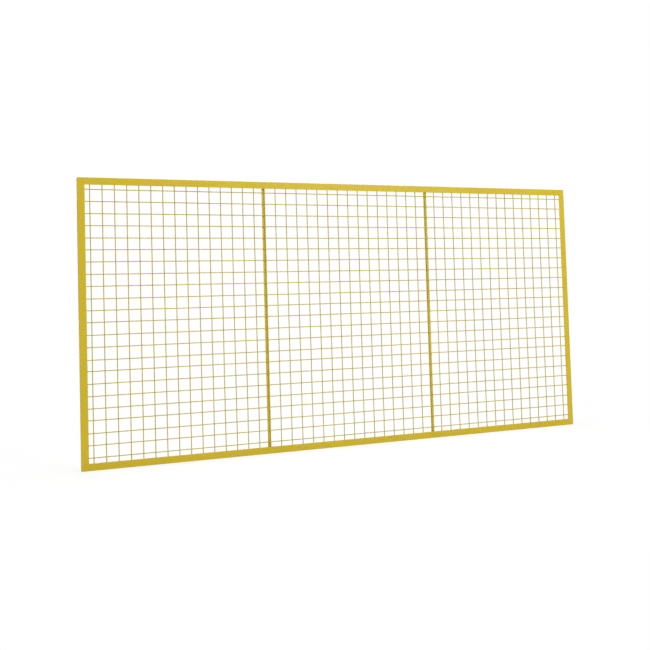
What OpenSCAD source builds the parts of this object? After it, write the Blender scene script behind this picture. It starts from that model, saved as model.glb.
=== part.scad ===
// Machine guard fence panel: a mitred frame of steel angle, a sheet of welded square mesh
// behind its front leg, and two upright flat bars behind the mesh that divide it in three bays.
// The front is -Y and the top is +Z. The origin is the middle of the left stile's outer face.

/* [Panel] */
// Length of the panel over the frame
panel_length = 2400; // [1200:50:3000]
// Height of the panel over the frame
panel_height = 1200; // [600:50:2200]

/* [Frame angle] */
// Width of the leg that shows on the front
front_leg = 30; // [22:1:50]
// Depth of the leg that runs back along the panel's edge
side_leg = 30; // [22:1:50]
// Thickness of both legs
leg_thickness = 3; // [2.5:0.5:5]
// Fillet between the legs, on the inside
root_radius = 5; // [2:0.5:6]
// Rounding of each leg's inner lip
toe_radius = 2.5; // [0.5:0.5:2.5]
// Radius to which the frame's four welded corners are ground
corner_radius = 3; // [1:0.5:4]

/* [Wire mesh] */
// Diameter of the wires
wire_d = 4; // [2.5:0.5:5]
// Distance between neighbouring wires, centre to centre
pitch = 50; // [30:5:100]
// Least length of wire past the last crossing
least_overhang = 25; // [20:1:30]
// Gap between the wire ends and the frame's side legs
end_gap = 7; // [6:0.5:12]
// How far the wires sink into each other at a spot weld
weld_sink = 0.8; // [0.2:0.1:1.2]

/* [Mullions] */
// Width of the flat bar
mullion_width = 15; // [10:1:30]
// Thickness of the flat bar
mullion_thickness = 3; // [2:0.5:6]
// From the middle of the bar to the wire that lies on it, towards the panel's middle
mullion_offset = 4; // [0:0.5:5]

/* [Hidden] */
$fn = 64;

PAINT = "#d8b82a";      // yellow powder coat on the frame and the mullions
WIRE_PAINT = "#c9aa2c"; // the same coat, a little deeper on thin round wire
WIRE_SIDES = 8;         // flats of a wire's section, two of which face front and back
SEAM = 1;               // from the side of a mullion's wire to the seam between mesh sections
CUT = 1;                // how far a cutting shape reaches past what it cuts

// Depths, from the front face backwards
front_y = -side_leg / 2;
leg_back_y = front_y + leg_thickness;
across_y = leg_back_y + wire_d / 2;          // axes of the horizontal wires
upright_y = across_y + wire_d - weld_sink;   // axes of the upright wires
mullion_y = upright_y + wire_d / 2;          // front face of the flat bars

// The panel's middle, in length; its height is centred on the origin
middle_x = panel_length / 2;

// Half sizes of the mesh sheet, and how many wires lie on each side of its middle wire
half_sheet_x = middle_x - leg_thickness - end_gap;
half_sheet_z = panel_height / 2 - leg_thickness - end_gap;
uprights_each_side = floor((half_sheet_x - least_overhang) / pitch);
acrosses_each_side = floor((half_sheet_z - least_overhang) / pitch);

// The mullions carry the uprights nearest to a third and two thirds of the length
mullion_wire = round(panel_length / 6 / pitch);
mullion_reach = mullion_wire * pitch + mullion_offset;   // from the middle to a bar's middle
seam_reach = mullion_wire * pitch + wire_d / 2 + SEAM;   // from the middle to a seam

// A bar stands on the side legs, or on their root fillets where it lies that near the front leg
mullion_depth = mullion_y - leg_back_y;
fillet_reach = max(0, root_radius - mullion_depth);
mullion_seat = root_radius - sqrt(pow(root_radius, 2) - pow(fillet_reach, 2));
mullion_height = panel_height - 2 * (leg_thickness + mullion_seat);

// What is left of a square corner of side r when its quarter circle is taken away. The square
// corner is at the origin and the circle touches both of its sides.
module corner_fillet(r) {
    difference() {
        square(r);
        translate([r, r]) circle(r);
    }
}

// The part that a rounded lip loses, with its square corner at the origin
module lip_rounding(r) {
    difference() {
        translate([-r, -r]) square(r + CUT);
        translate([-r, -r]) circle(r);
    }
}

// Section of the rolled angle. The heel is at the origin, the front leg lies along X and the
// side leg along Y, which is the panel's depth.
module angle_section() {
    difference() {
        union() {
            square([front_leg, leg_thickness]);
            square([leg_thickness, side_leg]);
            translate([leg_thickness, leg_thickness]) corner_fillet(root_radius);
        }
        translate([front_leg, leg_thickness]) lip_rounding(toe_radius);
        translate([leg_thickness, side_leg]) lip_rounding(toe_radius);
    }
}

// What the mitres leave of a rail or stile, seen from the front: its long edge is on X, and its
// two ends run at 45 degrees from the ground corners to the inner edge.
module mitred_outline(length) {
    difference() {
        polygon([[0, 0], [length, 0], [length - front_leg, front_leg], [front_leg, front_leg]]);
        corner_fillet(corner_radius);
        translate([length, 0]) mirror([1, 0]) corner_fillet(corner_radius);
    }
}

// A length of angle with its heel along X from the origin, its front leg standing in +Z and
// its side leg running back in +Y.
module mitred_angle(length) {
    intersection() {
        rotate([90, 0, 90]) linear_extrude(length)
            mirror([1, -1]) angle_section();
        translate([0, side_leg, 0]) rotate([90, 0, 0]) linear_extrude(side_leg)
            mitred_outline(length);
    }
}

module bottom_rail() {
    color(PAINT)
        translate([0, front_y, -panel_height / 2]) mitred_angle(panel_length);
}

module top_rail() {
    color(PAINT)
        translate([panel_length, front_y, panel_height / 2])
            rotate([0, 180, 0]) mitred_angle(panel_length);
}

module left_stile() {
    color(PAINT)
        translate([0, front_y, panel_height / 2])
            rotate([0, 90, 0]) mitred_angle(panel_height);
}

module right_stile() {
    color(PAINT)
        translate([panel_length, front_y, -panel_height / 2])
            rotate([0, -90, 0]) mitred_angle(panel_height);
}

// Flat bar behind the mesh, side = -1 for the left one and 1 for the right one
module mullion(side) {
    color(PAINT)
        translate([middle_x + side * mullion_reach - mullion_width / 2,
                   mullion_y, -mullion_height / 2])
            cube([mullion_width, mullion_thickness, mullion_height]);
}

// Wire of the given length along Z from the origin
module wire(length) {
    rotate(180 / WIRE_SIDES)
        cylinder(h = length, d = wire_d / cos(180 / WIRE_SIDES), $fn = WIRE_SIDES);
}

// Section of the welded mesh between two places along X, both measured from the panel's middle,
// with the uprights numbered first to last from the middle one
module mesh_section(from_x, to_x, first, last) {
    color(WIRE_PAINT) translate([middle_x, 0, 0]) union() {
        for (row = [-acrosses_each_side : acrosses_each_side])
            translate([from_x, across_y, row * pitch])
                rotate([0, 90, 0]) wire(to_x - from_x);
        for (column = [first : last])
            translate([column * pitch, upright_y, -half_sheet_z])
                wire(2 * half_sheet_z);
    }
}

module mesh_left() {
    mesh_section(-half_sheet_x, -seam_reach, -uprights_each_side, -mullion_wire - 1);
}

module mesh_middle() {
    mesh_section(-seam_reach, seam_reach, -mullion_wire, mullion_wire);
}

module mesh_right() {
    mesh_section(seam_reach, half_sheet_x, mullion_wire + 1, uprights_each_side);
}

top_rail();
bottom_rail();
left_stile();
right_stile();
mullion(-1);  // left_mullion
mullion(1);  // right_mullion
mesh_left();
mesh_middle();
mesh_right();
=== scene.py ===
# %% [markdown]
# # A welded mesh guard panel
#
# The real object is one panel of the fence that keeps people away from a machine. Four lengths
# of rolled steel angle are mitred and welded into a frame. A sheet of welded square mesh lies
# behind the frame's front leg, and two upright flat bars stand behind the mesh, so that it
# can't be pushed through. All of it is sprayed with yellow powder and baked.
#
# The solids were made in a CAD program and are loaded here as a fixed frame of reference. In
# this lesson each steel member is made again, with the soft edges, the round wires and the
# welds that a real one has, exactly where its solid stands.

# %% Load the model
import math

import bmesh
import bpy
from mathutils import Matrix, Vector, noise


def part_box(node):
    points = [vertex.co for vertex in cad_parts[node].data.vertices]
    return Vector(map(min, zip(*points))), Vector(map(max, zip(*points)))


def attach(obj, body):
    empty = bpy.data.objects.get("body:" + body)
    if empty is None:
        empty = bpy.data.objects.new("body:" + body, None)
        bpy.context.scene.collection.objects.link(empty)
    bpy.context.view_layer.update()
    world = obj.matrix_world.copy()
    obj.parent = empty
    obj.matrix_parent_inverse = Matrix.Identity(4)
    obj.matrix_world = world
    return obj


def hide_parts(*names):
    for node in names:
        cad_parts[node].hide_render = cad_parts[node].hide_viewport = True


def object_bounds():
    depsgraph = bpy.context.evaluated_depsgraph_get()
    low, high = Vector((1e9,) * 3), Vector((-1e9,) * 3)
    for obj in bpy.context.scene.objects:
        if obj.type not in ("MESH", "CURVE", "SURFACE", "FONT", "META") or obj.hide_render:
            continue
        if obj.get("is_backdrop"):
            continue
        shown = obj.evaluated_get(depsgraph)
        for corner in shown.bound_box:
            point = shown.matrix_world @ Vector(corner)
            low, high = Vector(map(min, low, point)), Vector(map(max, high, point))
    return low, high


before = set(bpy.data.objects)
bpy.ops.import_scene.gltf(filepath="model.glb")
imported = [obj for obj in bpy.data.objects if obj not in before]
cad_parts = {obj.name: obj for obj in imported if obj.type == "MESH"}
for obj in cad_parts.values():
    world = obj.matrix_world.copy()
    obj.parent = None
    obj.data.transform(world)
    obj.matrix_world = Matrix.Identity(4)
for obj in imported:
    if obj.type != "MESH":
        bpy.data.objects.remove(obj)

model_low, model_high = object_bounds()
print("The solids reach from", tuple(model_low), "to", tuple(model_high))

# %% [markdown]
# ## What the solids tell
#
# Nothing here is placed by eye. The boxes of the solids say where each member lies: +X runs
# along the panel, -Y is its front and +Z is up. Only sizes that a box doesn't show, such as
# the roundings of the section, are written down again.

# %% Read the places from the solids
left_low, left_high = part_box("left_stile")
mesh_low, mesh_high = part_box("mesh_left")[0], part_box("mesh_right")[1]

middle = (model_low + model_high) / 2
panel_length = model_high.x - model_low.x
panel_height = model_high.z - model_low.z
leg_width = left_high.x - left_low.x
leg_depth = model_high.y - model_low.y
leg_thickness = mesh_low.y - model_low.y
front_y = model_low.y
leg_back_y = mesh_low.y

print(f"Panel {panel_length:.3f} x {panel_height:.3f} m, angle {leg_width * 1000:.0f} x "
      f"{leg_depth * 1000:.0f} x {leg_thickness * 1000:.0f} mm")

# %% Sizes of the wire mesh
WIRE_DIAMETER = 0.004
PITCH = 0.050
LEAST_OVERHANG = 0.025

crosswise_y = mesh_low.y + WIRE_DIAMETER / 2
upright_y = mesh_high.y - WIRE_DIAMETER / 2
sheet_length = mesh_high.x - mesh_low.x
sheet_height = mesh_high.z - mesh_low.z
columns_each_side = math.floor((sheet_length / 2 - LEAST_OVERHANG) / PITCH)
rows_each_side = math.floor((sheet_height / 2 - LEAST_OVERHANG) / PITCH)
columns = range(-columns_each_side, columns_each_side + 1)
rows = range(-rows_each_side, rows_each_side + 1)

print(f"{len(columns)} upright and {len(rows)} crosswise wires, "
      f"{len(columns) * len(rows)} crossings")

# %% [markdown]
# ## The camera
#
# The panel is seen from the front, a little from the left, so that its left end is nearer and
# looks taller. A lens of about 44 mm on 36 mm film keeps that difference small. The lens is
# shifted a little, as on a view camera, so that the panel sits at the middle of the picture.

# %% Set up the camera
CAMERA_PLACE = (-0.193, -3.415, 0.0505)
CAMERA_TURN = (92.526, 1.691, -20.391)
LENS_LENGTH = 44.144
LENS_SHIFT = -0.0869
FILM_WIDTH = 36
FARTHEST_SEEN = 100

camera_data = bpy.data.cameras.new("camera")
camera_data.lens = LENS_LENGTH
camera_data.sensor_width = FILM_WIDTH
camera_data.shift_y = LENS_SHIFT
camera_data.clip_end = FARTHEST_SEEN
camera = bpy.data.objects.new("camera", camera_data)
camera.location = CAMERA_PLACE
camera.rotation_euler = [math.radians(angle) for angle in CAMERA_TURN]
bpy.context.scene.collection.objects.link(camera)
bpy.context.scene.camera = camera
bpy.context.scene.view_settings.view_transform = "Standard"
print(f"Camera {(Vector(CAMERA_PLACE) - middle).length:.2f} m from the middle of the panel")

# %% [markdown]
# ## Helpers for the pieces
#
# Each piece is modelled in a bmesh, in metres and in its final place, so its object stays at
# the origin, unturned. Rounded faces are shaded smooth and the arrises between flat faces
# stay crisp, but a weld has no arris, so it is smooth all over. Every piece says which body
# it rides on and which finish it takes.

# %% Turn a bmesh into a piece
ARRIS_ANGLE = math.radians(38)
NO_ARRIS = math.pi


def all_of(bm):
    return bm.verts[:] + bm.edges[:] + bm.faces[:]


def verts_of(geom):
    return [item for item in geom if isinstance(item, bmesh.types.BMVert)]


def finish_piece(bm, name, material, slot, *nodes, sharp_from=ARRIS_ANGLE):
    bmesh.ops.recalc_face_normals(bm, faces=bm.faces)
    for face in bm.faces:
        face.smooth = True
    for edge in bm.edges:
        edge.smooth = edge.is_manifold and edge.calc_face_angle(0) < sharp_from
    open_edges = sum(1 for edge in bm.edges if not edge.is_manifold)
    mesh = bpy.data.meshes.new(name)
    bm.to_mesh(mesh)
    bm.free()
    mesh.materials.append(material)
    piece = bpy.data.objects.new(name, mesh)
    bpy.context.scene.collection.objects.link(piece)
    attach(piece, "root")
    if nodes:
        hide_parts(*nodes)
    triangles = sum(len(polygon.vertices) - 2 for polygon in mesh.polygons)
    print(f"{name}: {triangles} triangles, {open_edges} open edges")
    return piece


# %% [markdown]
# ## Powder coat
#
# Powder coat is a thick, even skin of baked plastic. It isn't mirror smooth: it dries with a
# fine waviness called orange peel, its gloss changes a little from place to place, and its
# colour is a touch deeper where the skin is thick. A Principled shader carries the gloss.
# Four noises in object coordinates carry the rest: a slow one and a fine one for the colour,
# a middle one for the roughness, and one of a few millimetres for the bump.

# %% Build a powder coat
CLOUD_SIZE = 0.30
SPECK_SIZE = 0.0012
SPECK_SHARE = 0.08
PATCH_SIZE = 0.025
GLOSS_SPREAD = 0.05
PEEL_STRENGTH = 0.35
NOISE_ROUGHNESS = 0.5
NOISE_LOW, NOISE_HIGH = 0.3, 0.7


def new_noise(nodes, links, place, size, detail):
    texture = nodes.new("ShaderNodeTexNoise")
    texture.inputs["Scale"].default_value = 1 / size
    texture.inputs["Detail"].default_value = detail
    texture.inputs["Roughness"].default_value = NOISE_ROUGHNESS
    links.new(place.outputs["Object"], texture.inputs["Vector"])
    return texture


def spread(nodes, links, source, low, high):
    """Stretch the range where most of a noise lies to the range from low to high."""
    stretch = nodes.new("ShaderNodeMapRange")
    stretch.inputs["From Min"].default_value = NOISE_LOW
    stretch.inputs["From Max"].default_value = NOISE_HIGH
    stretch.inputs["To Min"].default_value = low
    stretch.inputs["To Max"].default_value = high
    links.new(source, stretch.inputs["Value"])
    return stretch.outputs["Result"]


def powder_coat(name, thick_tone, thin_tone, roughness, peel_size, peel_height):
    material = bpy.data.materials.new(name)
    material.use_nodes = True
    nodes, links = material.node_tree.nodes, material.node_tree.links
    shader = nodes["Principled BSDF"]
    place = nodes.new("ShaderNodeTexCoord")

    cloud = new_noise(nodes, links, place, CLOUD_SIZE, detail=2)
    speck = new_noise(nodes, links, place, SPECK_SIZE, detail=1)
    both = nodes.new("ShaderNodeMix")
    both.inputs["Factor"].default_value = SPECK_SHARE
    links.new(cloud.outputs["Fac"], both.inputs["A"])
    links.new(speck.outputs["Fac"], both.inputs["B"])
    share = spread(nodes, links, both.outputs["Result"], 0, 1)
    tone = nodes.new("ShaderNodeMix")
    tone.data_type = "RGBA"
    tone.inputs["A"].default_value = (*thick_tone, 1)
    tone.inputs["B"].default_value = (*thin_tone, 1)
    links.new(share, tone.inputs["Factor"])
    links.new(tone.outputs["Result"], shader.inputs["Base Color"])

    patches = new_noise(nodes, links, place, PATCH_SIZE, detail=3)
    gloss = spread(nodes, links, patches.outputs["Fac"],
                   roughness - GLOSS_SPREAD, roughness + GLOSS_SPREAD)
    links.new(gloss, shader.inputs["Roughness"])

    peel = new_noise(nodes, links, place, peel_size, detail=2)
    bump = nodes.new("ShaderNodeBump")
    bump.inputs["Strength"].default_value = PEEL_STRENGTH
    bump.inputs["Distance"].default_value = peel_height
    links.new(peel.outputs["Fac"], bump.inputs["Height"])
    links.new(bump.outputs["Normal"], shader.inputs["Normal"])
    return material


# %% [markdown]
# The frame, the wires and the welds get the same powder, but it doesn't come out quite the
# same. The wire coat is a little duller, and its colour is a darker copy of the frame's:
# painted shade, which makes the wires and the spot welds darker than the lamps alone make them.
# The rough skin of a weld shows through its coat.

# %% Mix the coats of the frame, the wires and the welds
frame_coat = powder_coat("frame_coat", (0.640, 0.472, 0.006), (0.690, 0.508, 0.008),
                         roughness=0.42, peel_size=0.0025, peel_height=0.00006)
# The wire coat is the frame colour made darker: painted shade on the wires and the spot welds.
wire_coat_with_painted_shade = powder_coat("wire_coat_with_painted_shade", (0.532, 0.421, 0.006), (0.593, 0.467, 0.009),
                        roughness=0.45, peel_size=0.0018, peel_height=0.00004)
weld_coat = powder_coat("weld_coat", (0.615, 0.455, 0.006), (0.670, 0.495, 0.008),
                        roughness=0.48, peel_size=0.0030, peel_height=0.00015)
print("Coats:", frame_coat.name, wire_coat_with_painted_shade.name, weld_coat.name)

# %% [markdown]
# ## The frame of rolled angle
#
# Rolled angle isn't a sharp L. The two legs meet in a fillet on the inside, the inner lip of
# each leg is rounded, and the outer arrises are only broken. The section is drawn as six
# corners and each gets its own rounding, which is how a drawing of it is made. A point a
# millimetre past each rounding keeps its soft shading off the flat of the leg. Then the
# section is drawn out to a bar, and the ends are sawn at 45 degrees with cutting planes.

# %% Draw the section of the angle
ROOT_RADIUS, ROOT_FACETS = 0.005, 6
TOE_RADIUS, TOE_FACETS = 0.0025, 5
HEEL_SOFTENING, HEEL_FACETS = 0.0006, 3
LIP_SOFTENING, LIP_FACETS = 0.0004, 2
FLAT_MARGIN = 0.001


def round_corner(bm, corner, radius, facets):
    """Round the corner of a flat outline in the YZ plane."""
    vertex = min(bm.verts, key=lambda v: (v.co - Vector((0, *corner))).length)
    bmesh.ops.bevel(bm, geom=[vertex], offset=radius, affect="VERTICES", segments=facets,
                    profile=0.5, material=-1)


def angle_section(bm):
    """The heel is at the origin, the front leg stands along Z and the side leg runs along Y."""
    wide, deep, thick = leg_width, leg_depth, leg_thickness
    heel, lip = HEEL_SOFTENING + FLAT_MARGIN, LIP_SOFTENING + FLAT_MARGIN
    root, toe = thick + ROOT_RADIUS + FLAT_MARGIN, TOE_RADIUS + FLAT_MARGIN
    outline = [(0, heel), (0, 0), (heel, 0), (deep - lip, 0), (deep, 0), (deep, thick),
               (deep - toe, thick), (root, thick), (thick, thick), (thick, root),
               (thick, wide - toe), (thick, wide), (0, wide), (0, wide - lip)]
    bm.faces.new([bm.verts.new((0, y, z)) for y, z in outline])
    round_corner(bm, (thick, thick), ROOT_RADIUS, ROOT_FACETS)
    round_corner(bm, (deep, thick), TOE_RADIUS, TOE_FACETS)
    round_corner(bm, (thick, wide), TOE_RADIUS, TOE_FACETS)
    round_corner(bm, (0, 0), HEEL_SOFTENING, HEEL_FACETS)
    round_corner(bm, (deep, 0), LIP_SOFTENING, LIP_FACETS)
    round_corner(bm, (0, wide), LIP_SOFTENING, LIP_FACETS)


section = bmesh.new()
angle_section(section)
area = sum(face.calc_area() for face in section.faces)
print(f"The section has {len(section.verts)} points and {area * 1e6:.0f} mm2 of steel")
section.free()

# %% [markdown]
# ## Mitred and ground corners
#
# The welder grinds each outer corner of the frame to a small radius. On one member that is an
# eighth of a circle next to the mitre. A few flat cuts, each turned a little further, take
# the corner off just as a grinder does. Then the mitre is sawn, and its rim is broken very
# slightly, which leaves the hairline that still shows under the paint where two members meet.

# %% Saw and grind a member
CORNER_RADIUS = 0.003
GRINDING_PASSES = 5
GRINDING_STEP = math.radians(45) / GRINDING_PASSES
HAIRLINE = 0.0002
SAW_ACCURACY = 1e-7


def saw(bm, point, direction):
    """Take away all that lies past a plane, in the given direction, and close the cut."""
    cut = bmesh.ops.bisect_plane(bm, geom=all_of(bm), plane_co=point, plane_no=direction,
                                 clear_outer=True, dist=SAW_ACCURACY)
    rim = [g for g in cut["geom_cut"] if isinstance(g, bmesh.types.BMEdge)]
    return bmesh.ops.edgenet_fill(bm, edges=rim)["faces"]


def shape_end(bm, corner_x, inward):
    """Mitre and grind the end at corner_x. inward is 1 if the bar lies on its +X side."""
    end = Vector((corner_x, 0, 0))
    centre = end + Vector((inward, 0, 1)) * CORNER_RADIUS
    for grinding in range(1, GRINDING_PASSES + 1):
        turn = grinding * GRINDING_STEP
        outward = Vector((-inward * math.sin(turn), 0, -math.cos(turn)))
        saw(bm, centre + outward * CORNER_RADIUS, outward)
    mitre = saw(bm, end, Vector((-inward, 0, 1)).normalized())
    rim = [edge for face in mitre for edge in face.edges]
    bmesh.ops.bevel(bm, geom=rim, offset=HAIRLINE, affect="EDGES", segments=1, profile=0.5,
                    material=-1)


def angle_member(name, length, placing):
    """A member with its heel along X from the origin, then moved to its place."""
    bm = bmesh.new()
    angle_section(bm)
    drawn = bmesh.ops.extrude_face_region(bm, geom=bm.faces[:], use_keep_orig=True)
    bmesh.ops.translate(bm, verts=verts_of(drawn["geom"]), vec=(length, 0, 0))
    shape_end(bm, 0, 1)
    shape_end(bm, length, -1)
    bmesh.ops.transform(bm, matrix=placing, verts=bm.verts)
    return finish_piece(bm, name + "_coated", frame_coat, "frame_paint", name)


flat_width = 2 * CORNER_RADIUS * math.tan(GRINDING_STEP / 2)
print(f"Each grinding pass leaves a flat {flat_width * 1000:.2f} mm wide")

# %% Make the four members
def quarter_turns(count):
    return Matrix.Rotation(math.radians(90 * count), 4, "Y")


low_z, high_z = model_low.z, model_high.z
near_x, far_x = model_low.x, model_high.x
members = [
    angle_member("bottom_rail", panel_length, Matrix.Translation((near_x, front_y, low_z))),
    angle_member("top_rail", panel_length,
                 Matrix.Translation((far_x, front_y, high_z)) @ quarter_turns(2)),
    angle_member("left_stile", panel_height,
                 Matrix.Translation((near_x, front_y, high_z)) @ quarter_turns(1)),
    angle_member("right_stile", panel_height,
                 Matrix.Translation((far_x, front_y, low_z)) @ quarter_turns(-1)),
]
for member in members:
    lowest, highest = Vector(member.bound_box[0]), Vector(member.bound_box[6])
    node_low, node_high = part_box(member.name.removesuffix("_coated"))
    misfit = max((lowest - node_low).length, (highest - node_high).length)
    print(f"{member.name} is off its solid by {misfit * 1000:.3f} mm")

# %% [markdown]
# ## The mullions
#
# Each mullion is a length of rolled flat bar. A rolling mill leaves its long arrises slightly
# round, and the saw leaves its ends nearly sharp. A scaled block is enough, with one bevel
# for the long edges and a finer one for the ends. The four flats get a narrow rim, which
# keeps the soft shading of the edges to itself.

# %% Make the two mullions
MULLIONS = ("left_mullion", "right_mullion")
BAR_ROUNDING, BAR_FACETS = 0.0007, 3
BAR_END_SOFTENING = 0.0003
BAR_FLAT_MARGIN = 0.0005
SAME_PLACE = 1e-6


def lies_at(edge, z):
    return all(abs(vert.co.z - z) < SAME_PLACE for vert in edge.verts)


def mullion(name):
    low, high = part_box(name)
    bm = bmesh.new()
    block = bmesh.ops.create_cube(bm, size=1)
    bmesh.ops.scale(bm, vec=high - low, verts=block["verts"])
    bmesh.ops.translate(bm, vec=(low + high) / 2, verts=block["verts"])
    long_edges = [e for e in bm.edges if abs(e.verts[0].co.z - e.verts[1].co.z) > leg_width]
    bmesh.ops.bevel(bm, geom=long_edges, offset=BAR_ROUNDING, affect="EDGES",
                    segments=BAR_FACETS, profile=0.5, material=-1)
    end_edges = [e for e in bm.edges if lies_at(e, low.z) or lies_at(e, high.z)]
    bmesh.ops.bevel(bm, geom=end_edges, offset=BAR_END_SOFTENING, affect="EDGES", segments=1,
                    profile=0.5, material=-1)
    flats = sorted(bm.faces, key=lambda face: face.calc_area())[-4:]
    bmesh.ops.inset_individual(bm, faces=flats, thickness=BAR_FLAT_MARGIN, use_even_offset=True)
    finish_piece(bm, name + "_coated", frame_coat, "frame_paint", name)


for name in MULLIONS:
    mullion(name)
mullion_xs = [(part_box(name)[0].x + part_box(name)[1].x) / 2 for name in MULLIONS]
print("Mullions stand at", [round(x, 4) for x in mullion_xs])

# %% [markdown]
# ## How the wires stray
#
# A machine welds the mesh. It feeds all the uprights side by side, so they are evenly spaced,
# but it drops the crosswise wires one at a time, and each lands up to three millimetres off
# its line. The wires come off a coil and are never quite straight, so each also wanders
# sideways by a fraction of a millimetre. Where nothing holds it, the whole sheet bellies in
# or out by about a millimetre, and it lies flat where the frame and the mullions carry it.
# Smooth noise gives all three, read along a line of its own for each wire. It is nought at
# whole numbers, so each place that it is read at has an odd share added. The welds use the
# same noise, so that they stay on the crossings.

# %% Work out the wander of the wires
WANDER, WANDER_WAVES, WIRE_STEP = 0.0006, 5, 7.31
ROW_STRAY, ROW_STEP = 0.004, 3.7
BELLY, BELLY_WAVES = 0.0012, 3
OFF_WHOLE = 0.5
ROW_LINE, BELLY_LINE = 1.1, 9.7
SUPPORT_REACH = 0.10
FIRST_CROSSWISE = 100


def sideways(wire_number, along):
    place = (wire_number * WIRE_STEP, along * WANDER_WAVES, OFF_WHOLE)
    return WANDER * noise.noise(Vector(place))


def row_height(row):
    stray = ROW_STRAY * noise.noise(Vector((row * ROW_STEP, ROW_LINE, OFF_WHOLE)))
    return middle.z + row * PITCH + stray


def ease(distance):
    """0 at a support, 1 out of its reach, and smooth between."""
    share = min(max(distance / SUPPORT_REACH, 0), 1)
    return share * share * (3 - 2 * share)


def belly(x, z):
    """How far the sheet is pushed back at a place."""
    from_frame = min(x - near_x - leg_width, far_x - leg_width - x,
                     z - low_z - leg_width, high_z - leg_width - z)
    from_mullion = min(abs(x - bar) for bar in mullion_xs) - WIRE_DIAMETER * 2
    swell = noise.noise(Vector((x * BELLY_WAVES, BELLY_LINE, z * BELLY_WAVES)))
    return BELLY * swell * ease(from_frame) * ease(from_mullion)


def crossing(column, row):
    """Where an upright and a crosswise wire are welded together."""
    x, z = middle.x + column * PITCH, row_height(row)
    return Vector((x + sideways(column, z), (crosswise_y + upright_y) / 2 + belly(x, z),
                   z + sideways(FIRST_CROSSWISE + row, x)))


strays = [abs(row_height(row) - middle.z - row * PITCH) for row in rows]
print(f"Crosswise wires stray by up to {max(strays) * 1000:.1f} mm")

# %% [markdown]
# ## The wires
#
# A wire is a circle drawn out in steps, which leaves a ring of points every 25 mm for the
# wander to move. A spin of no angle with a step along the wire does that in one go. Its two
# ends are shorn, so their rims are only slightly broken. One wire is made and copied, because
# all wires of a kind are the same length.

# %% Make one straight wire
WIRE_SIDES = 12
RING_STEP = 0.025
SHORN_RIM = 0.0003


def straight_wire(length):
    """A closed wire along Z, with its middle at the origin."""
    bm = bmesh.new()
    bmesh.ops.create_circle(bm, cap_ends=True, segments=WIRE_SIDES, radius=WIRE_DIAMETER / 2)
    bmesh.ops.translate(bm, verts=bm.verts, vec=(0, 0, -length / 2))
    steps = round(length / RING_STEP)
    bmesh.ops.spin(bm, geom=all_of(bm), cent=(0, 0, 0), axis=(0, 0, 1),
                   dvec=(0, 0, length / steps), angle=0, steps=steps, use_merge=False)
    rims = [e for e in bm.edges if lies_at(e, -length / 2) or lies_at(e, length / 2)]
    bmesh.ops.bevel(bm, geom=rims, offset=SHORN_RIM, affect="EDGES", segments=1, profile=0.5,
                    material=-1)
    return bm


print(f"A wire has a ring of {WIRE_SIDES} points every {RING_STEP * 1000:.0f} mm")

# %% Copy the wires into their places and let them wander
def lay_wires(name, length, numbers, place, wander, *nodes):
    """Make all wires of a kind. place gives a wire's matrix and wander moves its points."""
    bm = straight_wire(length)
    pattern = all_of(bm)
    for number in numbers:
        copied = verts_of(bmesh.ops.duplicate(bm, geom=pattern)["geom"])
        bmesh.ops.transform(bm, matrix=place(number), verts=copied)
        for vert in copied:
            vert.co += wander(number, vert.co)
    bmesh.ops.delete(bm, geom=verts_of(pattern), context="VERTS")
    finish_piece(bm, name, wire_coat_with_painted_shade, "wire_paint", *nodes)


def upright_place(column):
    return Matrix.Translation((middle.x + column * PITCH, upright_y, middle.z))


def crosswise_place(row):
    along_x = Matrix.Rotation(math.radians(90), 4, "Y")
    return Matrix.Translation((middle.x, crosswise_y, row_height(row))) @ along_x


mesh_nodes = ("mesh_left", "mesh_middle", "mesh_right")
lay_wires(
    "upright_wires", sheet_height, columns, upright_place,
    lambda column, at: Vector((sideways(column, at.z), belly(at.x, at.z), 0)), *mesh_nodes)
lay_wires(
    "crosswise_wires", sheet_length, rows, crosswise_place,
    lambda row, at: Vector((0, belly(at.x, at.z), sideways(FIRST_CROSSWISE + row, at.x))),
    *mesh_nodes)

# %% [markdown]
# ## Spot welds
#
# The machine presses the two wires together at each crossing and sends a current through
# them, so that they sink into each other and a little metal is squeezed out of the joint. The
# powder then fills the four sharp nooks round it. A small flattened ball at each crossing,
# mostly buried in the wires, shows just that collar. It is repeated over a thousand times, so
# it has few faces.

# %% Put a collar on each crossing
COLLAR_REACH = 0.0036
COLLAR_DEPTH = 0.0017
COLLAR_SQUEEZE, SQUEEZE_LUMPS = 0.12, 31
COLLAR_TURN, TURN_LUMPS = 0.4, 47
COLLAR_FACETS = (8, 4)


def copy_blobs(name, bm, placings, material, slot):
    """Copy a small shape to many places, each with its own matrix."""
    pattern = all_of(bm)
    for placing in placings:
        copied = verts_of(bmesh.ops.duplicate(bm, geom=pattern)["geom"])
        bmesh.ops.transform(bm, matrix=placing, verts=copied)
    bmesh.ops.delete(bm, geom=verts_of(pattern), context="VERTS")
    finish_piece(bm, name, material, slot, sharp_from=NO_ARRIS)


def placed(at, half_size, turn=0.0):
    """The matrix that makes a ball of radius 1 as big as half_size, turns it and moves it."""
    return (Matrix.Translation(at) @ Matrix.Rotation(turn, 4, "Y")
            @ Matrix.Diagonal((*half_size, 1)))


def ball(around, down):
    """A ball of radius 1 with its poles on Y, the depth of the panel."""
    bm = bmesh.new()
    bmesh.ops.create_uvsphere(bm, u_segments=around, v_segments=down, radius=1)
    bmesh.ops.rotate(bm, verts=bm.verts, matrix=Matrix.Rotation(math.radians(90), 3, "X"))
    return bm


def collar_placings():
    for column in columns:
        for row in rows:
            at = crossing(column, row)
            squeeze = 1 + COLLAR_SQUEEZE * noise.noise(at * SQUEEZE_LUMPS)
            size = Vector((COLLAR_REACH * squeeze, COLLAR_DEPTH, COLLAR_REACH / squeeze))
            yield placed(at, size, COLLAR_TURN * noise.noise(at * TURN_LUMPS))


copy_blobs("spot_welds", ball(*COLLAR_FACETS), collar_placings(), wire_coat_with_painted_shade, "wire_paint")

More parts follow.
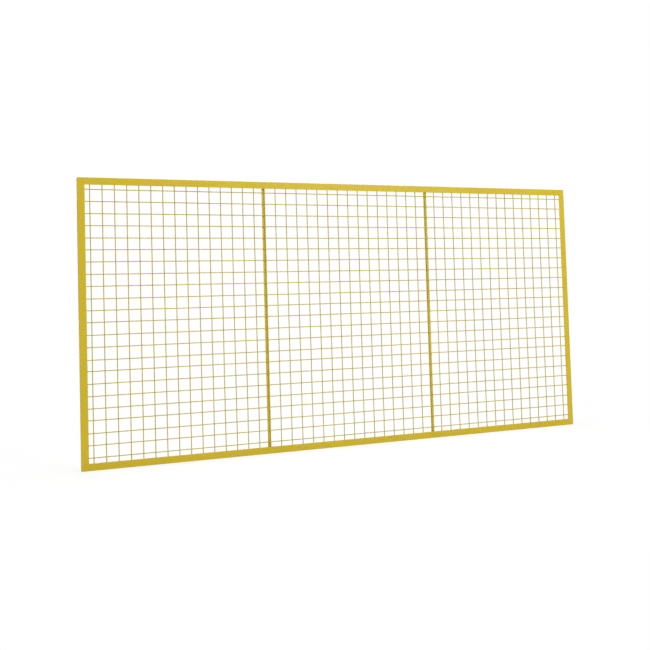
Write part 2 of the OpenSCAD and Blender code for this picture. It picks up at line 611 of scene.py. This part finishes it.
# %% [markdown]
# ## Tack welds
#
# The mesh is held to the frame by short tacks laid from behind, in the nook between a wire
# and the back of the front leg, and to each mullion by tacks along the wire that lies on it.
# One tack behind each end of a mullion holds it to the rail. The welder tacks each crosswise
# wire to the stiles, every second upright to the rails, and the mullions at every third row.
# A tack is a small heap of metal that froze as it ran: a squashed ball with an uneven skin.

# %% Model one tack
TACK_FACETS = (14, 9)
TACK_UNEVENNESS = 0.16
TACK_LUMPS = 1.7


def tack_pattern():
    bm = ball(*TACK_FACETS)
    for vert in bm.verts:
        vert.co *= 1 + TACK_UNEVENNESS * noise.noise(vert.co * TACK_LUMPS)
    return bm


# %% Tack the crosswise wires to the stiles and the uprights to the rails
TACK_INSET = 0.011
STILE_TACK = (0.0045, 0.0022, 0.0028)
STILE_TACK_LIFT = 0.0006
RAIL_TACK = (0.0030, 0.0032, 0.0045)
RAIL_TACK_LIFT = -0.0002
BESIDE_WIRE = WIRE_DIAMETER * 0.55
NEAR_WIRE = WIRE_DIAMETER * 0.4
FRAME_TACK_TURN, TACK_TURN_LUMPS = 0.3, 53


def tack_turn(at, most):
    return most * noise.noise(at * TACK_TURN_LUMPS)


def stile_tacks():
    for row in rows:
        for edge, inward in ((near_x, 1), (far_x, -1)):
            side = 1 if row % 2 else -1
            at = Vector((edge + inward * (leg_width - TACK_INSET), leg_back_y + STILE_TACK_LIFT,
                         row_height(row) + side * BESIDE_WIRE))
            yield placed(at, STILE_TACK, tack_turn(at, FRAME_TACK_TURN))


def rail_tacks():
    for column in columns[::2]:
        for edge, inward in ((low_z, 1), (high_z, -1)):
            x = middle.x + column * PITCH
            at = Vector((x + NEAR_WIRE, (leg_back_y + upright_y) / 2 + RAIL_TACK_LIFT,
                         edge + inward * (leg_width - TACK_INSET)))
            yield placed(at, RAIL_TACK, tack_turn(at, FRAME_TACK_TURN))


copy_blobs("frame_tacks", tack_pattern(), [*stile_tacks(), *rail_tacks()], weld_coat,
           "frame_paint")

# %% Tack the mesh to the mullions, and the mullions to the rails
BAR_TACK = (0.0022, 0.0017, 0.0055)
BAR_TACK_LIFT = -0.0004
BAR_TACK_TURN = 0.1
BAR_END_TACK = (0.0058, 0.0022, 0.0024)
BAR_END_TACK_LIFT = 0.0006
BAR_END_TACK_INSET = 0.0012


def mullion_tacks():
    for bar in mullion_xs:
        low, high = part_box("left_mullion" if bar < middle.x else "right_mullion")
        column = round((bar - middle.x) / PITCH)
        wire_x = middle.x + column * PITCH
        side = math.copysign(1, bar - wire_x)
        for row in rows[1::3]:
            at = Vector((wire_x + side * BESIDE_WIRE, low.y + BAR_TACK_LIFT,
                         middle.z + (row + 0.5) * PITCH))
            yield placed(at, BAR_TACK, tack_turn(at, BAR_TACK_TURN))
        for edge, inward in ((low.z, 1), (high.z, -1)):
            at = Vector((bar, high.y + BAR_END_TACK_LIFT, edge + inward * BAR_END_TACK_INSET))
            yield placed(at, BAR_END_TACK)


copy_blobs("mullion_tacks", tack_pattern(), mullion_tacks(), weld_coat, "frame_paint")

# %% [markdown]
# ## Corner beads
#
# Where two side legs meet behind a mitre, a bead is run along the inside of the corner. It
# fills the corner with a face that bulges a little, less than a quarter circle would. A bead
# is laid drop by drop, and each drop freezes as a crescent that overlaps the last one. The
# section is drawn out in short steps, which gives the rings. Each ring is bowed into a
# crescent, and the rings shrink in threes, so that every third one stands out as the rim of
# a drop.

# %% Run a bead in each corner
BEAD_REACH = 0.0044
BEAD_HOLLOW = 0.17
BEAD_FACETS = 6
BEAD_START, BEAD_STOP = 0.001, 0.003
BEAD_STEPS = 46
BEAD_TIP, TIP_GROWTH = 0.4, 0.25
BEAD_UNEVENNESS, BEAD_LUMPS = 0.06, 300
DROP_STEPS = 3
DROP_STEP_SHRINK = 0.028
DROP_BOW = 0.0012
BEAD_SINK = 0.0002


def bead_size(ring, at):
    """How big the section is at a ring, as a share of its full size."""
    taper = min(1, BEAD_TIP + TIP_GROWTH * min(ring, BEAD_STEPS - ring))
    shrink = 1 - DROP_STEP_SHRINK * (ring % DROP_STEPS)
    return taper * shrink * (1 + BEAD_UNEVENNESS * noise.noise(at * BEAD_LUMPS))


def bead(bm, mirror_x, mirror_z):
    """Add the bead of the lower left corner, or its mirror image in another corner."""
    step = (leg_depth - leg_thickness - BEAD_START - BEAD_STOP) / BEAD_STEPS
    before = set(bm.verts)
    profile = [bm.verts.new((0, 0, 0))]
    for facet in range(BEAD_FACETS + 1):
        turn = math.radians(90) * facet / BEAD_FACETS
        reach = BEAD_REACH * (1 - BEAD_HOLLOW * math.sin(2 * turn))
        profile.append(bm.verts.new((reach * math.cos(turn), 0, reach * math.sin(turn))))
    face = bm.faces.new(profile)
    bmesh.ops.spin(bm, geom=face.verts[:] + face.edges[:] + [face], cent=(0, 0, 0),
                   axis=(0, 1, 0), dvec=(0, step, 0), angle=0, steps=BEAD_STEPS,
                   use_merge=False)
    for vert in set(bm.verts) - before:
        turn = math.atan2(vert.co.z, vert.co.x)
        size = bead_size(round(vert.co.y / step), vert.co)
        x = near_x + leg_thickness - BEAD_SINK + vert.co.x * size
        z = low_z + leg_thickness - BEAD_SINK + vert.co.z * size
        vert.co = ((near_x + far_x - x) if mirror_x else x,
                   leg_back_y + BEAD_START + vert.co.y + DROP_BOW * math.sin(2 * turn),
                   (low_z + high_z - z) if mirror_z else z)


bead_bm = bmesh.new()
for mirror_x in (False, True):
    for mirror_z in (False, True):
        bead(bead_bm, mirror_x, mirror_z)
finish_piece(bead_bm, "corner_beads", weld_coat, "frame_paint", sharp_from=NO_ARRIS)

# %% [markdown]
# ## The studio
#
# The panel stands on a plain white floor that runs out to a white horizon. For all light that
# bounces off it, the floor is an ordinary matt white. The camera sees a fainter matt white
# with a glow added to it, so that the floor comes out white and still holds a soft, faint
# shadow at the panel's foot. A metre or two away it fades to the plain white of the horizon,
# so that no edge shows. From below it can be seen through.

# %% Lay the floor
FLOOR_SIZE = 60
FLOOR_WHITE = 0.8
FLOOR_GLOW = 0.735
SHADOW_SHARE = 0.27
FADE_FROM, FADE_TO = 0.9, 2.4


def either_ray(nodes, links, first, second):
    """1 for a ray of either kind, 0 for any other."""
    rays = nodes.new("ShaderNodeLightPath")
    either = nodes.new("ShaderNodeMath")
    either.operation = "MAXIMUM"
    links.new(rays.outputs[first], either.inputs[0])
    links.new(rays.outputs[second], either.inputs[1])
    return either.outputs["Value"]


def choose(nodes, links, share, none, full):
    """The first shader where share is 0, the second where it is 1."""
    mixed = nodes.new("ShaderNodeMixShader")
    links.new(share, mixed.inputs["Fac"])
    links.new(none, mixed.inputs[1])
    links.new(full, mixed.inputs[2])
    return mixed.outputs["Shader"]


def matt(nodes, white):
    shader = nodes.new("ShaderNodeBsdfDiffuse")
    shader.inputs["Color"].default_value = (white, white, white, 1)
    return shader.outputs["BSDF"]


floor_bm = bmesh.new()
bmesh.ops.create_grid(floor_bm, x_segments=1, y_segments=1, size=FLOOR_SIZE / 2)
bmesh.ops.translate(floor_bm, verts=floor_bm.verts, vec=(middle.x, middle.y, low_z))
floor_mesh = bpy.data.meshes.new("floor")
floor_bm.to_mesh(floor_mesh)
floor_bm.free()
floor = bpy.data.objects.new("floor", floor_mesh)
bpy.context.scene.collection.objects.link(floor)
floor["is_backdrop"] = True

floor_paint = bpy.data.materials.new("floor_paint")
floor_paint.use_nodes = True
nodes, links = floor_paint.node_tree.nodes, floor_paint.node_tree.links
nodes.clear()
glow = nodes.new("ShaderNodeEmission")
glow.inputs["Strength"].default_value = FLOOR_GLOW
lit = nodes.new("ShaderNodeAddShader")
links.new(matt(nodes, SHADOW_SHARE), lit.inputs[0])
links.new(glow.outputs["Emission"], lit.inputs[1])

place = nodes.new("ShaderNodeTexCoord")
distance = nodes.new("ShaderNodeVectorMath")
distance.operation = "DISTANCE"
distance.inputs[1].default_value = (middle.x, middle.y, low_z)
fade = nodes.new("ShaderNodeMapRange")
fade.interpolation_type = "SMOOTHSTEP"
fade.inputs["From Min"].default_value = FADE_FROM
fade.inputs["From Max"].default_value = FADE_TO
links.new(place.outputs["Object"], distance.inputs[0])
links.new(distance.outputs["Value"], fade.inputs["Value"])

horizon = nodes.new("ShaderNodeEmission")
faded = choose(nodes, links, fade.outputs["Result"], lit.outputs["Shader"],
               horizon.outputs["Emission"])
seen = either_ray(nodes, links, "Is Camera Ray", "Is Glossy Ray")
from_above = choose(nodes, links, seen, matt(nodes, FLOOR_WHITE), faded)
side = nodes.new("ShaderNodeNewGeometry")
clear = nodes.new("ShaderNodeBsdfTransparent")
either_side = choose(nodes, links, side.outputs["Backfacing"], from_above,
                     clear.outputs["BSDF"])
output = nodes.new("ShaderNodeOutputMaterial")
links.new(either_side, output.inputs["Surface"])
floor_mesh.materials.append(floor_paint)
print(f"The floor is {FLOOR_SIZE} m wide and fades from {FADE_FROM} to {FADE_TO} m")

# %% [markdown]
# A long strip light hangs straight above the panel, which gives the wires their shaded
# undersides and puts the first wires under the top rail in its shade. A large light high on
# the right and a weaker one on the left open the front faces, and one behind keeps the back
# from looking dull. A weak, even sky fills the rest, and the camera sees it as plain white.

# %% Hang the lights
LIGHTS = {
    "overhead": {"place": (middle.x, 0, 3.4), "size": (4.0, 1.2), "watts": 78},
    "right": {"place": (3.6, -4.4, 3.2), "size": (3.0, 2.0), "watts": 176},
    "left": {"place": (-2.6, -4.0, 2.4), "size": (2.5, 2.5), "watts": 77},
    "back": {"place": (0.6, 4.5, 2.6), "size": (4.0, 2.5), "watts": 120},
}


def area_light(name, place, size, watts):
    """A rectangular light that faces the middle of the panel."""
    data = bpy.data.lights.new(name, "AREA")
    data.shape = "RECTANGLE"
    data.size, data.size_y = size
    data.energy = watts
    light = bpy.data.objects.new(name, data)
    light.location = place
    light.rotation_euler = (middle - Vector(place)).to_track_quat("-Z", "Y").to_euler()
    bpy.context.scene.collection.objects.link(light)
    print(f"{name}: {watts} W, {(middle - Vector(place)).length:.1f} m away")


for name, settings in LIGHTS.items():
    area_light(name, **settings)

# %% Light the room
SKY = 0.12
WHITE = (1, 1, 1, 1)

world = bpy.data.worlds.new("studio")
bpy.context.scene.world = world
world.use_nodes = True
nodes, links = world.node_tree.nodes, world.node_tree.links
nodes.clear()
soft = nodes.new("ShaderNodeBackground")
soft.inputs["Color"].default_value = WHITE
soft.inputs["Strength"].default_value = SKY
white = nodes.new("ShaderNodeBackground")
white.inputs["Color"].default_value = WHITE
seen = either_ray(nodes, links, "Is Camera Ray", "Is Transmission Ray")
sky = choose(nodes, links, seen, soft.outputs["Background"], white.outputs["Background"])
output = nodes.new("ShaderNodeOutputWorld")
links.new(sky, output.inputs["Surface"])
print("Sky strength", SKY)

# %% [markdown]
#
# The dressed panel is meant to stay as big as the solids. The box of the solids was measured
# right after loading. Here the box of the dressed panel is measured too, and how far it reaches
# past the solids is printed.

# %% Compare the two boxes
shown_low, shown_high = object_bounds()
growth = max((model_low - shown_low).length, (shown_high - model_high).length)
print(f"The box grew by {growth * 1000:.4f} mm")
